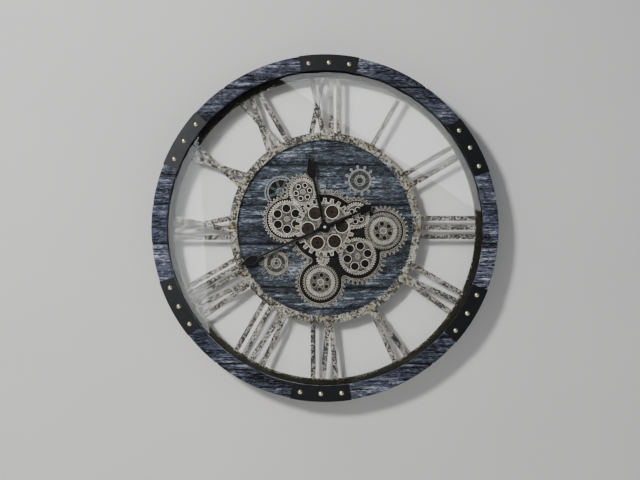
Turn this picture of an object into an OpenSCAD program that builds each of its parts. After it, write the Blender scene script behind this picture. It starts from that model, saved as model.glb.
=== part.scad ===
// Skeleton wall clock with a glazed wooden ring, cut-out Roman numerals and a geared dial.
// Every module is drawn lying on its back: X to the right, Y towards twelve, Z away from the wall.
// stand() turns that into the hanging clock: the wall is the plane Y = 0 and the dial faces -Y.

/* [Case] */
// Diameter of the clock across the straps
clock_d = 914; // [904:1:924]
// Radial width of the wooden front ring
ring_w = 40; // [38:1:41]
// Thickness of the wooden front ring
ring_t = 18; // [14:1:22]
// Distance from the wall to the back of the front ring
case_depth = 60; // [59:1:66]
// Turn of the straps from the hours, clockwise
strap_turn = 1.4; // [0:0.1:3]

/* [Numerals] */
// Inner radius of the flat band that the numerals reach
band_r = 400; // [396:1:403]
// Outer radius of the bezel around the dial
bezel_r = 255; // [252:1:258]
// Width of a straight numeral bar
bar_w = 13.4; // [11:0.1:15]
// Width of a numeral V at its open end
v_w = 50; // [44:1:54]
// Width of a numeral X
x_w = 48; // [42:1:52]

/* [Dial] */
// Radius of the dial that shows inside the bezel
dial_r = 234; // [232:1:235]
// Width of the toothed frame around the gears
frame_w = 5; // [4:0.5:6]

/* [Gears] */
// Thickness of a gear
gear_t = 4; // [3:0.5:4]

/* [Hands] */
// Length of the minute hand from its axis to its tip
minute_l = 264; // [240:1:270]
// Length of the hour hand from its axis to its tip
hour_l = 215; // [190:1:220]
// Angle of the minute hand from twelve, clockwise
minute_turn = 245.8; // [0:0.1:360]
// Angle of the hour hand from twelve, clockwise
hour_turn = 347; // [0:0.1:360]

/* [Hidden] */
$fn = 96;
slack = 0.05;            // running clearance of a shaft in its bore
play = 0.1;              // tooth play, as a share of the module

// Radii of the case
strap_t = 1.2;
ring_r = clock_d / 2 - strap_t;
ring_in_r = ring_r - ring_w;
rebate = 13;             // how far the glass reaches under the ring
glass_r = ring_in_r + rebate - 1;
glass_t = 4;
gasket_t = 1;
shell_r = ring_r - 5;
sheet = 2;               // thickness of every steel sheet
ring_front = case_depth + ring_t;
strap_half = 9.4;        // half the angle that a strap covers
strap_angles = [for (i = [0:5]) strap_turn + 60 * i];

// Heights above the wall
numeral_z = 36;
band_z = numeral_z + sheet;
board_z = 29;
board_t = 5;
tray_z = board_z + board_t;
tray_t = 1;
frame_t = 3;
gear_z = 36.5;
upper_z = gear_z + gear_t;
centre_z = 42;
centre_t = 4;
hour_z = 48.5;
minute_z = 51;
hand_t = 1.2;
drive_z = 24;
drive_t = 3.5;
bridge_z = 18.5;
case_z = 4;

// Radii of the hub
drum_r = dial_r + 4;
rivet_r = bezel_r - 9;
rim_rivet_r = shell_r - 17;

// Numerals: text and the gap between its letters, from one o'clock
NUMERALS = [["I", 0], ["II", 20], ["III", 11], ["IV", 9], ["V", 0], ["VI", 12],
            ["VII", 9], ["VIII", 4.5], ["IX", 5], ["X", 0], ["XI", 9], ["XII", 7]];

// Tooth modules of the gears on the dial and of the wheels behind it
front_module = 2;
rear_module = 1.5;
// Teeth of each gear, and the direction from the gear that drives it
hub_n = 56;
side_n = 34;
right_n = 48;
lower_n = 48;
left_n = 48;
top_n = 36;
pinion_n = 16;
bottom_n = 46;
drive_n = 74;
idler_n = 38;
motor_n = 12;
function mesh(a, b, m) = (a + b) * m / 2;
function polar(r, a) = [r * cos(a), r * sin(a)];
side_dir = 20.7;
right_dir = -30;
lower_dir = -135.4;
left_dir = 167.3;
top_dir = 59.3;
idler_dir = 266.5;
bottom_dir = 264.3;
motor_dir = 180;
side_at = polar(mesh(hub_n, side_n, front_module), side_dir);
right_at = side_at + polar(mesh(side_n, right_n, front_module), right_dir);
lower_at = right_at + polar(mesh(right_n, lower_n, front_module), lower_dir);
left_at = polar(mesh(hub_n, left_n, front_module), left_dir);
top_at = left_at + polar(mesh(left_n, top_n, front_module), top_dir);
idler_at = polar(mesh(drive_n, idler_n, rear_module), idler_dir);
bottom_at = idler_at + polar(mesh(pinion_n, bottom_n, front_module), bottom_dir);
motor_at = polar(mesh(drive_n, motor_n, rear_module), motor_dir);

// Turn of a driven gear at which its teeth fall into the gaps of its driver
function meshed(turn, n, driven_n, dir) =
    dir + 180 - (turn - dir) * n / driven_n - 180 / driven_n;
side_turn = meshed(0, hub_n, side_n, side_dir);
right_turn = meshed(side_turn, side_n, right_n, right_dir);
lower_turn = meshed(right_turn, right_n, lower_n, lower_dir);
left_turn = meshed(0, hub_n, left_n, left_dir);
top_turn = meshed(left_turn, left_n, top_n, top_dir);
idler_turn = meshed(0, drive_n, idler_n, idler_dir);
bottom_turn = meshed(0, pinion_n, bottom_n, bottom_dir);
motor_turn = meshed(0, drive_n, motor_n, motor_dir);

// Lobes of the tray: place, radius, teeth in a full circle, tooth length
LOBES = [[[0, 0], 89, 40, 10], [left_at, 54.5, 38, 5], [top_at, 40, 26, 5], [side_at, 40, 26, 5],
         [right_at, 54, 34, 8], [lower_at, 60, 36, 11], [bottom_at, 56, 36, 6]];
stud_r = 3;
tube_r = 9;

// Motion work of the movement: two meshes on one centre distance
cannon_n = 12;
minute_n = 36;
minute_pinion_n = 9;
hour_n = 36;
work_module = 0.45;
work_gap = mesh(cannon_n, minute_n, work_module);
hour_module = 2 * work_gap / (minute_pinion_n + hour_n);
work_dir = 90;
minute_wheel_turn = meshed(0, cannon_n, minute_n, work_dir);
hour_wheel_turn = meshed(0, minute_pinion_n, hour_n, work_dir + 180);
knob_turn = meshed(minute_wheel_turn, minute_n, cannon_n, work_dir);
knob_at = polar(2 * work_gap, work_dir);
cell_r = 7.25;
cell_l = 50.5;
movement_cell_y = -20;
box_y = -114;            // centre line of the battery box
box_cells = [box_y - 7.6, box_y + 7.6];

// ---- Shapes that repeat ----

module stand() rotate([90, 0, 0]) children();

module ring(outer, inner, z, t) translate([0, 0, z]) difference() {
    cylinder(r = outer, h = t);
    translate([0, 0, -1]) cylinder(r = inner, h = t + 2);
}

module at(place) translate([place[0], place[1], 0]) children();

// Clockwise from twelve, at a radius
module around(radius, turn) rotate(-turn) translate([0, radius, 0]) children();

module hole(radius, z, t) translate([0, 0, z - 1]) cylinder(r = radius, h = t + 2, $fn = 32);

// Half the angle of an involute tooth at radius r
function involute(r, base) = r <= base ? 0 : tan(acos(base / r)) * 180 / PI - acos(base / r);
function half_tooth(r, n, m) =
    let (pitch = n * m / 2, base = pitch * cos(20))
    90 / n * (1 - 2 * play / PI) + involute(pitch, base) - involute(max(r, base), base);
function gear_points(n, m) =
    let (tip = n * m / 2 + 0.9 * m, root = n * m / 2 - 1.2 * m, steps = 4,
         radii = [for (i = [0:steps]) root + (tip - root) * i / steps])
    [for (t = [0:n - 1])
        each concat([for (i = [0:steps]) polar(radii[i], t * 360 / n - half_tooth(radii[i], n, m))],
                    [for (i = [steps:-1:0]) polar(radii[i], t * 360 / n + half_tooth(radii[i], n, m))])];

module gear(n, m, z, t) translate([0, 0, z]) linear_extrude(t) polygon(gear_points(n, m));

// Straight-sided teeth of a given width at root and tip
function block_points(n, root, tip, root_w, tip_w) =
    [for (t = [0:n - 1])
        each [for (p = [[root, -root_w], [tip, -tip_w], [tip, tip_w], [root, root_w]])
            polar(p[0], t * 360 / n + atan(p[1] / 2 / p[0]))]];

// A gear with a sunk web, a hub and six collared holes
module holed_gear(n, z, hole_ring, hole_r, hole_turn, web_r) {
    collar = 1.2;
    hub = 7;
    difference() {
        union() {
            difference() {
                gear(n, front_module, z, gear_t);
                translate([0, 0, z + gear_t - 1]) cylinder(r = web_r, h = 2);
            }
            translate([0, 0, z]) cylinder(r = hub, h = gear_t + 0.8);
            for (i = [0:5]) rotate(-hole_turn - 60 * i) translate([0, hole_ring, z])
                cylinder(r = hole_r + collar, h = gear_t - 0.3, $fn = 48);
        }
        hole(stud_r + slack, z, gear_t + 1);
        for (i = [0:5]) rotate(-hole_turn - 60 * i) translate([0, hole_ring, 0])
            hole(hole_r, z, gear_t);
    }
}

// A smaller toothed wheel fixed on a gear
module upper_wheel(radius, teeth, hole_ring, hole_r, hole_turn) difference() {
    root = radius - 6;
    union() {
        translate([0, 0, upper_z - 1]) cylinder(r = root, h = 2);
        translate([0, 0, upper_z]) linear_extrude(2.2) polygon(block_points(teeth, root, radius, 2.2, 1.9));
        translate([0, 0, upper_z]) cylinder(r = 7, h = 3);
    }
    translate([0, 0, upper_z + 1.4]) ring(root - 3.5, 9, 0, 2);
    hole(stud_r + slack, upper_z - 2, 6);
    for (i = [0:5]) rotate(-hole_turn - 60 * i) translate([0, hole_ring, 0])
        hole(hole_r, gear_z, 8);
}

module screw(z, length, head_r, head_t) {
    translate([0, 0, z]) cylinder(r = head_r, h = head_t, $fn = 32);
    translate([0, 0, z]) cylinder(r = 1.5, h = length, $fn = 32);
}

// ---- Front ring and glass ----

clip_angles = [for (i = [0:5]) 30 + 60 * i];
clip_screw_r = ring_in_r + rebate + 2.5;
flange_screw_r = shell_r - 7;

module front_ring() color("slategray") difference() {
    rotate_extrude() polygon([
        [ring_in_r + rebate, case_depth], [ring_r - 1, case_depth], [ring_r, case_depth + 1],
        [ring_r, ring_front - 1.5], [ring_r - 1.5, ring_front], [ring_in_r + 1.5, ring_front],
        [ring_in_r, ring_front - 1.5], [ring_in_r, case_depth + glass_t + gasket_t],
        [ring_in_r + rebate, case_depth + glass_t + gasket_t]]);
    for (a = clip_angles) around(clip_screw_r, a) hole(1.5 + slack, case_depth - 2, 10);
    for (a = clip_angles) around(flange_screw_r, a + 15) hole(1.5 + slack, case_depth - 2, 12);
    for (a = strap_angles, i = [-1:1]) around(ring_in_r + ring_w / 2, a + 7.1 * i)
        hole(1.5 + slack, ring_front - 10, 12);
}

// A strap is a shallow channel that wraps the ring's outer and inner edges
module strap_outline(grow) {
    outer = clock_d / 2;
    polygon([[0, 0], each [for (s = [-1, 1]) polar(outer + 20, 90 - s * (strap_half + 0.7 + grow))]]);
}

module strap() difference() {
    intersection() {
        rotate_extrude() polygon([
            [ring_in_r - 0.6, ring_front - 9], [ring_in_r - 0.1, ring_front - 9],
            [ring_in_r - 0.1, ring_front + 0.1], [ring_r + 0.1, ring_front + 0.1],
            [ring_r + 0.1, case_depth + 3], [clock_d / 2, case_depth + 3],
            [clock_d / 2, ring_front + strap_t], [ring_in_r - 0.6, ring_front + strap_t]]);
        translate([0, 0, case_depth]) linear_extrude(2 * ring_t) strap_outline(0);
    }
    for (i = [-1:1]) around(ring_in_r + ring_w / 2, 7.1 * i) hole(1.5 + slack, ring_front, 4);
}

module ring_straps() color("black") for (a = strap_angles) rotate(-a) strap();

// Domed nails, three to a strap
module strap_rivets() color("tan") for (a = strap_angles, i = [-1:1])
    around(ring_in_r + ring_w / 2, a + 7.1 * i) {
        rivet_z = ring_front + strap_t;
        translate([0, 0, rivet_z]) intersection() {
            translate([0, 0, -4.5]) sphere(r = 7.5);
            cylinder(r = 8, h = 4);
        }
        translate([0, 0, ring_front - 9]) cylinder(r = 1.5, h = strap_t + 10, $fn = 32);
    }

module glass_pane() color("azure", 0.3) translate([0, 0, case_depth]) cylinder(r = glass_r, h = glass_t);

module glass_gasket() color("dimgray") ring(glass_r, ring_in_r + 2, case_depth + glass_t, gasket_t);

module glass_clips() color("silver") for (a = clip_angles) around(0, a) difference() {
    translate([-8, glass_r - 8, case_depth - 1.5]) cube([16, 13, 1.5]);
    translate([0, clip_screw_r, 0]) hole(1.5 + slack, case_depth - 2, 2);
}

// ---- Steel case ----

keyhole_x = 150;
keyhole_y = sqrt(pow(shell_r - 11, 2) - pow(keyhole_x, 2));
module rim_shell() color("black") difference() {
    rotate_extrude() polygon([
        [shell_r - 22, 0], [shell_r, 0], [shell_r, case_depth], [shell_r - 14, case_depth],
        [shell_r - 14, case_depth - sheet], [shell_r - sheet, case_depth - sheet],
        [shell_r - sheet, sheet], [shell_r - 22, sheet]]);
    for (a = clip_angles) around(flange_screw_r, a + 15) hole(1.5 + slack, case_depth - 3, 3);
    for (s = [-1, 1]) translate([s * keyhole_x, keyhole_y, 0]) {
        hole(5, 0, sheet);
        translate([-2.2, 0, -1]) cube([4.4, 8.5, sheet + 2]);
    }
}

module rim_band() color("darkgray") difference() {
    ring(shell_r - sheet - 0.2, band_r, band_z, sheet);
    for (h = [1:12], s = [-1, 1]) around(0, 30 * h) translate([9 * s, rim_rivet_r, 0])
        hole(1.5 + slack, band_z, sheet);
}

// ---- Numerals ----

function letter_w(c) = c == "I" ? bar_w : c == "V" ? v_w : x_w;
function text_w(s, gap, i = 0) =
    i >= len(s) ? -gap : letter_w(s[i]) + gap + text_w(s, gap, i + 1);
function letter_x(s, gap, i) =
    i == 0 ? -text_w(s, gap) / 2 : letter_x(s, gap, i - 1) + letter_w(s[i - 1]) + gap;

module letter(c) {
    low = bezel_r - 8;
    high = band_r + 8;
    stroke = bar_w * 1.02;
    if (c == "I") translate([0, low]) square([bar_w, high - low]);
    if (c == "X") for (s = [0, 1]) translate([x_w / 2, 0]) mirror([s, 0])
        polygon([[-x_w / 2, low], [-x_w / 2 + stroke, low], [x_w / 2, high], [x_w / 2 - stroke, high]]);
    if (c == "V") for (s = [0, 1]) translate([v_w / 2, 0]) mirror([s, 0])
        polygon([[-9.5, low], [stroke - 9.5, low], [stroke - v_w / 2, high], [-v_w / 2, high]]);
}

module numeral(hour) {
    s = NUMERALS[hour - 1][0];
    gap = NUMERALS[hour - 1][1];
    w = max(text_w(s, gap), 34);
    color("silver") rotate(-30 * hour) difference() {
        union() {
            intersection() {
                translate([0, 0, numeral_z]) linear_extrude(sheet)
                    for (i = [0:len(s) - 1]) translate([letter_x(s, gap, i), 0]) letter(s[i]);
                ring(band_r + 6, bezel_r - 6, numeral_z - 1, sheet + 2);
            }
            // tabs that lie behind the bezel and the band
            intersection() {
                union() {
                    ring(bezel_r - 2, drum_r + 1, numeral_z, sheet);
                    ring(shell_r - 10, band_r + 2, numeral_z, sheet);
                }
                translate([-w / 2, 0, 0]) cube([w, clock_d / 2, case_depth]);
            }
        }
        translate([0, rivet_r, 0]) hole(1.5 + slack, numeral_z, sheet);
        for (i = [-1, 1]) translate([9 * i, rim_rivet_r, 0]) hole(1.5 + slack, numeral_z, sheet);
    }
}

module numeral_rivets() color("gold") for (h = [1:12]) {
    around(rivet_r, 30 * h) {
        translate([0, 0, numeral_z - sheet - 1]) cylinder(r = 3, h = 1, $fn = 32);
        translate([0, 0, numeral_z - sheet]) cylinder(r = 1.5, h = 3 * sheet, $fn = 32);
        translate([0, 0, band_z + sheet]) cylinder(r1 = 4, r2 = 2.5, h = 1.4, $fn = 32);
    }
    // rivets on posts that stand on the shell's back flange
    for (s = [-1, 1]) around(0, 30 * h) translate([9 * s, rim_rivet_r, 0]) {
        translate([0, 0, sheet]) cylinder(r = 3, h = numeral_z - sheet, $fn = 32);
        translate([0, 0, numeral_z]) cylinder(r = 1.5, h = 2 * sheet, $fn = 32);
        translate([0, 0, band_z + sheet]) cylinder(r1 = 3, r2 = 2, h = 1, $fn = 32);
    }
}

// ---- Hub ----

module hub_bezel() color("silver") difference() {
    rotate_extrude() polygon([
        [dial_r, band_z], [bezel_r, band_z], [bezel_r, band_z + sheet], [dial_r + 2.4, band_z + sheet],
        [dial_r + 1.8, band_z + sheet + 0.8], [dial_r, band_z + sheet + 0.8]]);
    for (h = [1:12]) around(rivet_r, 30 * h) hole(1.5 + slack, band_z, sheet);
}

drum_screws = [for (i = [0:7]) 22.5 + 45 * i];
module hub_drum() color("dimgray") difference() {
    rotate_extrude() polygon([
        [drum_r - 16, sheet], [drum_r, sheet], [drum_r, numeral_z - sheet],
        [bezel_r - 1, numeral_z - sheet], [bezel_r - 1, numeral_z], [drum_r - sheet, numeral_z],
        [drum_r - sheet, board_z], [drum_r - 14, board_z], [drum_r - 14, board_z - sheet],
        [drum_r - sheet, board_z - sheet], [drum_r - sheet, 2 * sheet], [drum_r - 16, 2 * sheet]]);
    for (h = [1:12]) around(rivet_r, 30 * h) hole(1.5 + slack, numeral_z - sheet, sheet);
    for (a = drum_screws) around(drum_r - 9, a) {
        hole(1.5 + slack, sheet, sheet);
        hole(1.5 + slack, board_z - sheet, sheet);
    }
}

module dial_board() color("steelblue") difference() {
    translate([0, 0, board_z]) cylinder(r = drum_r - sheet - 0.2, h = board_t);
    hole(12 + slack, board_z, board_t);
    for (p = [left_at, top_at, side_at, right_at, lower_at, bottom_at]) at(p)
        hole(stud_r + slack, board_z, board_t);
    at(idler_at) hole(stud_r + slack, board_z, board_t);
    for (a = drum_screws) around(drum_r - 9, a) translate([0, 0, board_z - 1])
        cylinder(r = 1.5 + slack, h = 5, $fn = 32);
}

// The tray is the lobes blended together, and the toothed frame follows its edge
module tray_shape(grow) offset(r = -9) offset(delta = 9) for (l = LOBES)
    translate(l[0]) circle(r = l[1] + grow, $fn = 72);

function clear_of_lobes(p) = min([for (l = LOBES) norm(p - l[0]) - l[1]]) > 1.5 * frame_w;

module toothed_outline() difference() {
    union() {
        tray_shape(frame_w);
        for (l = LOBES, i = [0:l[2] - 1]) {
            a = 360 / l[2] * i;
            tip = l[0] + polar(l[1] + frame_w + l[3], a);
            if (clear_of_lobes(tip)) translate(l[0]) rotate(a) polygon([
                [l[1] + 1, -l[1] * 0.047], [l[1] + frame_w, -l[1] * 0.04 - 0.6],
                [l[1] + frame_w + l[3], -l[1] * 0.016 - 0.8], [l[1] + frame_w + l[3], l[1] * 0.016 + 0.8],
                [l[1] + frame_w, l[1] * 0.04 + 0.6], [l[1] + 1, l[1] * 0.047]]);
        }
    }
    tray_shape(0);
}

module gear_tray() color([0.08, 0.08, 0.07]) difference() {
    translate([0, 0, tray_z]) linear_extrude(tray_t) tray_shape(frame_w - 0.5);
    hole(12 + slack, tray_z, tray_t);
    for (p = [left_at, top_at, side_at, right_at, lower_at, bottom_at, idler_at]) at(p)
        hole(stud_r + slack, tray_z, tray_t);
}

module toothed_frame() color("silver") translate([0, 0, tray_z + tray_t])
    linear_extrude(frame_t) toothed_outline();

// ---- Ornamental wheels screwed to the board ----

star_at = [93.5, 125.7];
window_at = [-129.3, -95];
spoked_at = [-118, 95];

module star_wheel() color("silver") at(star_at) translate([0, 0, tray_z]) difference() {
    union() {
        cylinder(r = 29, h = 3);
        ring(30.5, 26.5, 0, 4.5);
        for (i = [0:11]) rotate(30 * i + 9) {
            translate([28, -2.2, 0]) cube([9, 4.4, 3.5]);
            translate([37.5, 0, 0]) cylinder(r = 3.4, h = 4, $fn = 32);
        }
        cylinder(r = 14, h = 5);
    }
    translate([0, 0, 1]) cylinder(r = 8.5, h = 5);
    for (i = [0:3]) rotate(45 + 90 * i) intersection() {
        ring(23.5, 17, 1, 8);
        linear_extrude(10) polygon([[0, 0], polar(60, -30), polar(60, 30)]);
    }
}

module window_wheel() color("silver") at(window_at) translate([0, 0, tray_z]) difference() {
    union() {
        linear_extrude(3) polygon(block_points(10, 33, 46, 11, 6));
        cylinder(r = 33.5, h = 3);
        ring(31, 26, 0, 5);
        cylinder(r = 13, h = 5);
    }
    for (i = [0:2]) rotate(35 + 120 * i) intersection() {
        ring(24, 15, 1, 8);
        linear_extrude(10) polygon([[0, 0], polar(60, -45), polar(70, 0), polar(60, 45)]);
    }
    hole(5, 2, 5);
}

module spoked_ring() color("silver") difference() {
    at(spoked_at) translate([0, 0, tray_z]) {
        ring(43, 39, 0, 3);
        ring(36, 32.5, 0, 3);
        cylinder(r = 11, h = 3);
        linear_extrude(2) polygon(block_points(14, 9, 14.5, 2.6, 1.8));
        for (i = [0:7]) rotate(45 * i + 20) translate([8, -2.8, 0]) cube([32, 5.6, 2]);
    }
    translate([0, 0, tray_z - 1]) linear_extrude(8) offset(delta = 6.5) tray_shape(frame_w);
}

// ---- Gears on the dial ----

module centre_gear() color("silver") difference() {
    union() {
        difference() {
            translate([0, 0, centre_z]) linear_extrude(centre_t)
                polygon(block_points(24, 67, 78, 11, 8.5));
            translate([0, 0, centre_z + centre_t - 1]) cylinder(r = 63.5, h = 2);
        }
        for (i = [0:5]) around(45.4, 25.5 + 60 * i) translate([0, 0, centre_z])
            cylinder(r = 19, h = centre_t - 0.3);
        translate([0, 0, centre_z]) cylinder(r = 17, h = centre_t + 0.8);
    }
    for (i = [0:5]) around(45.4, 25.5 + 60 * i) hole(17.2, centre_z, centre_t);
    hole(tube_r, centre_z, centre_t + 2);
}

// The hollow arbor that the hands' shafts pass through, with its fine-toothed wheel
module centre_arbor() color("goldenrod") difference() {
    union() {
        translate([0, 0, drive_z]) cylinder(r = tube_r, h = centre_z + centre_t + 1 - drive_z);
        difference() {
            gear(hub_n, front_module, gear_z, gear_t);
            for (i = [0:7]) rotate(45 * i) translate([35, 0, 0]) hole(10, gear_z, gear_t);
        }
        translate([0, 0, gear_z]) cylinder(r = 15, h = centre_z - gear_z);
    }
    hole(6.5, drive_z, 30);
}

module drive_wheel() color("gold") difference() {
    gear(drive_n, rear_module, drive_z, drive_t);
    hole(tube_r, drive_z, drive_t);
    for (i = [0:4]) rotate(72 * i) translate([33, 0, 0]) hole(12, drive_z, drive_t);
}

module centre_bush() color("goldenrod") difference() {
    union() {
        translate([0, 0, board_z - 1]) cylinder(r = 14, h = 1);
        translate([0, 0, board_z - 1]) cylinder(r = 12, h = board_t + tray_t + 1.4);
    }
    translate([0, 0, board_z - 2]) cylinder(r = tube_r + slack, h = board_t + 6);
}

module left_gear() color("silver") at(left_at) {
    rotate(left_turn) holed_gear(left_n, gear_z, 27.8, 10.9, left_turn - 2, 40);
}

module top_gear() color("silver") at(top_at) {
    rotate(top_turn) holed_gear(top_n, gear_z, 18.4, 5.5, top_turn + 18, 29);
}

module side_gear() color("silver") at(side_at) {
    rotate(side_turn) holed_gear(side_n, gear_z, 16.5, 5.6, side_turn + 10, 27);
}

module right_gear() color("silver") at(right_at) rotate(right_turn) {
    difference() {
        gear(right_n, front_module, gear_z, gear_t);
        hole(stud_r + slack, gear_z, gear_t);
        for (i = [0:5]) rotate(-right_turn + 9.5 - 60 * i) translate([0, 19, 0]) hole(6.1, gear_z, gear_t);
        translate([0, 0, gear_z + gear_t - 1]) ring(43, 37, 0, 2);
    }
    upper_wheel(36.5, 48, 19, 6.1, right_turn - 9.5);
}

module lower_gear() color("silver") at(lower_at) {
    rotate(lower_turn) holed_gear(lower_n, gear_z, 28, 10.4, lower_turn + 15, 41);
}

module bottom_gear() color("silver") at(bottom_at) rotate(bottom_turn) {
    difference() {
        gear(bottom_n, front_module, gear_z, gear_t);
        hole(stud_r + slack, gear_z, gear_t);
        for (i = [0:5]) rotate(-bottom_turn - 7.5 - 60 * i) translate([0, 19, 0]) hole(5.6, gear_z, gear_t);
        translate([0, 0, gear_z + gear_t - 1]) ring(42.5, 38.5, 0, 2);
    }
    upper_wheel(38, 52, 19, 5.6, bottom_turn + 7.5);
}

// One arbor with a wheel behind the dial and a pinion in front of it
module idler_gear() color("silver") at(idler_at) {
    rotate(idler_turn) difference() {
        gear(idler_n, rear_module, drive_z, drive_t);
        for (i = [0:4]) rotate(72 * i) translate([16, 0, 0]) hole(5.5, drive_z, drive_t);
    }
    translate([0, 0, drive_z]) cylinder(r = stud_r, h = gear_z + gear_t + 0.8 - drive_z);
    gear(pinion_n, front_module, gear_z, gear_t);
}

// Fixed studs that the gears turn on, each with its head
module gear_studs() color("gainsboro") for (p = [[left_at, 0], [top_at, 0], [side_at, 0], [right_at, 1],
                                                [lower_at, 0], [bottom_at, 1]]) at(p[0]) {
    head_z = upper_z + 1.2 + 2.2 * p[1];
    translate([0, 0, board_z]) cylinder(r = stud_r, h = head_z - board_z);
    translate([0, 0, head_z]) cylinder(r1 = 5.8, r2 = 4.8, h = 1.4);
}

// ---- Drive behind the dial ----

bridge_posts = [[-80, 25], [-80, -25], [64, 25], [64, -25]];
module bridge_plate() color("silver") difference() {
    union() {
        translate([-88, -33, bridge_z]) cube([160, 66, sheet]);
        for (p = bridge_posts) translate([p[0], p[1], bridge_z]) cylinder(r = 4, h = board_z - bridge_z);
    }
    hole(4 + slack, bridge_z, sheet);
    at(motor_at) hole(4, bridge_z, sheet);
}

module motor_body() color("gray") at(motor_at) {
    translate([-15, -20, 5]) cube([30, 40, bridge_z - 5]);
    difference() {
        translate([0, -30, 11.5]) rotate([90, 0, 0]) cylinder(r = 6, h = 20, center = true);
        translate([-15, -20, 5]) cube([30, 40, bridge_z - 5]);
    }
}

module motor_pinion() color("gold") at(motor_at) {
    rotate(motor_turn) gear(motor_n, rear_module, drive_z - 1, drive_t + 2);
    translate([0, 0, bridge_z + 0.3]) cylinder(r = 2.5, h = drive_z - bridge_z);
}

// ---- Clock movement ----

wall = 1.2;
module movement_case() color("black") difference() {
    union() {
        difference() {
            translate([-28, -29, case_z]) cube([56, 56, bridge_z - case_z]);
            translate([-28 + wall, -29 + wall, case_z - 1])
                cube([56 - 2 * wall, 56 - 2 * wall, bridge_z - case_z + 1 - wall]);
        }
        translate([0, 0, bridge_z - wall]) cylinder(r = 4, h = wall + 7.5);
        translate([0, work_gap, 6]) cylinder(r = 0.75, h = bridge_z - 6.5, $fn = 24);
    }
    translate([0, 0, bridge_z - 3]) cylinder(r = 3 + slack, h = 14);
}

module movement_lid() color("black") difference() {
    translate([-28, -29, case_z - 1]) cube([56, 56, 1]);
    at(knob_at) hole(1.3, case_z - 1, 1);
    translate([-cell_l / 2 - 0.6, movement_cell_y - cell_r - 0.4, case_z - 2])
        cube([cell_l + 1.2, 2 * cell_r + 0.8, 3]);
}

module movement_nut() color("gold") difference() {
    translate([0, 0, bridge_z + sheet]) cylinder(r = 7, h = 3, $fn = 6);
    hole(4 + slack, bridge_z + sheet, 3);
}

module circuit_board() color("green") {
    translate([12, -4, 13]) cube([13, 26, 1]);
    translate([14, 6, 14]) cube([6, 6, 1.5]);
    translate([22, 3, 12]) rotate([-90, 0, 0]) cylinder(r = 1, h = 6, $fn = 24);
}

// Coil, stator and rotor of the stepping motor
module step_motor() color("orangered") {
    translate([-22, 12, 9]) rotate([-90, 0, 0]) cylinder(r = 3, h = 12, center = true, $fn = 48);
    difference() {
        translate([-24, -4, 13]) cube([9, 27, 1.2]);
        translate([-18.5, 0, 0]) hole(3.4, 13, 2);
    }
    translate([-18.5, 0, 11]) cylinder(r = 2.9, h = 4, $fn = 48);
}

module minute_arbor() color("goldenrod") {
    translate([0, 0, 6]) cylinder(r = 1.8, h = minute_z + 2 - 6, $fn = 48);
    gear(cannon_n, work_module, 8, 1.5);
}

module hour_pipe() color("gold") difference() {
    union() {
        translate([0, 0, 11]) cylinder(r = 3, h = hour_z + hand_t - 11, $fn = 64);
        rotate(hour_wheel_turn) gear(hour_n, hour_module, 11, 1.5);
    }
    hole(1.8 + slack, 11, 45);
}

module minute_wheel() color("gold") translate([0, work_gap, 0]) difference() {
    union() {
        rotate(minute_wheel_turn) gear(minute_n, work_module, 8, 1.5);
        gear(minute_pinion_n, hour_module, 9.5, 3);
    }
    hole(0.75 + slack, 8, 5);
}

module setting_knob() color("black") at(knob_at) {
    rotate(knob_turn) gear(cannon_n, work_module, 8, 1.5);
    translate([0, 0, 1]) cylinder(r = 1.2, h = 10, $fn = 48);
    translate([0, 0, 0.3]) linear_extrude(2.4) polygon(block_points(18, 6.2, 7, 1.6, 1.2));
}

// ---- Hands ----

// Half width of a leaf from its base (0) to its needle tip (1)
leaf_widest = 0.26;
function leaf(t) = t < leaf_widest ? pow(sin(90 * t / leaf_widest), 0.8)
    : pow((1 + cos(180 * (t - leaf_widest) / (1 - leaf_widest))) / 2, 1.4);

// Outline of a hand along +Y: a tapered rod and a leaf
function hand_points(length, leaf_start, leaf_w, rod_w, base_w) =
    let (steps = 24,
         side = [for (i = [0:steps]) [max(leaf(i / steps) * leaf_w / 2, (1 - i / steps) * rod_w / 2),
                                      leaf_start + (length - leaf_start) * i / steps]])
    concat([[base_w / 2, 0]], side, [for (i = [steps:-1:0]) [-side[i][0], side[i][1]]], [[-base_w / 2, 0]]);

module hour_hand() color("black") rotate(-hour_turn) difference() {
    translate([0, 0, hour_z]) linear_extrude(hand_t) union() {
        polygon(hand_points(hour_l, 0.6 * hour_l, 27, 7, 9));
        circle(r = 13.8);
    }
    hole(3, hour_z, hand_t);
}

tail_l = 117;
module minute_hand() color("black") rotate(-minute_turn) {
    difference() {
        translate([0, 0, minute_z]) linear_extrude(hand_t) union() {
            polygon(hand_points(minute_l, 0.73 * minute_l, 24.5, 6, 9));
            circle(r = 13.8);
            polygon([[-5, 0], [-2.5, -tail_l + 12], [2.5, -tail_l + 12], [5, 0]]);
            polygon([for (a = [0:10:350]) [10.7 * cos(a), 18.4 * sin(a) - tail_l]]);
        }
        hole(1.8, minute_z, hand_t);
    }
    difference() {
        translate([0, 0, minute_z + hand_t]) cylinder(r1 = 5, r2 = 3.6, h = 3);
        translate([0, 0, minute_z]) cylinder(r = 1.8, h = 3, $fn = 32);
    }
}

// ---- Power and back ----

module battery_box() color("black") difference() {
    translate([-30, box_y - 17, sheet]) cube([60, 34, 17]);
    translate([-28, box_y - 15.2, sheet - 1]) cube([56, 30.4, 16.5]);
}

module cell() {
    rotate([0, 90, 0]) cylinder(r = cell_r, h = cell_l - 1, center = true);
    translate([cell_l / 2 - 0.5, 0, 0]) rotate([0, 90, 0]) cylinder(r = 2.7, h = 1.1, center = true, $fn = 32);
}

module battery_cells() color("darkseagreen") {
    translate([0, movement_cell_y, bridge_z - wall - cell_r - 0.2]) cell();
    for (y = box_cells) translate([0, y, sheet + cell_r + 0.6]) cell();
}

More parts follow.
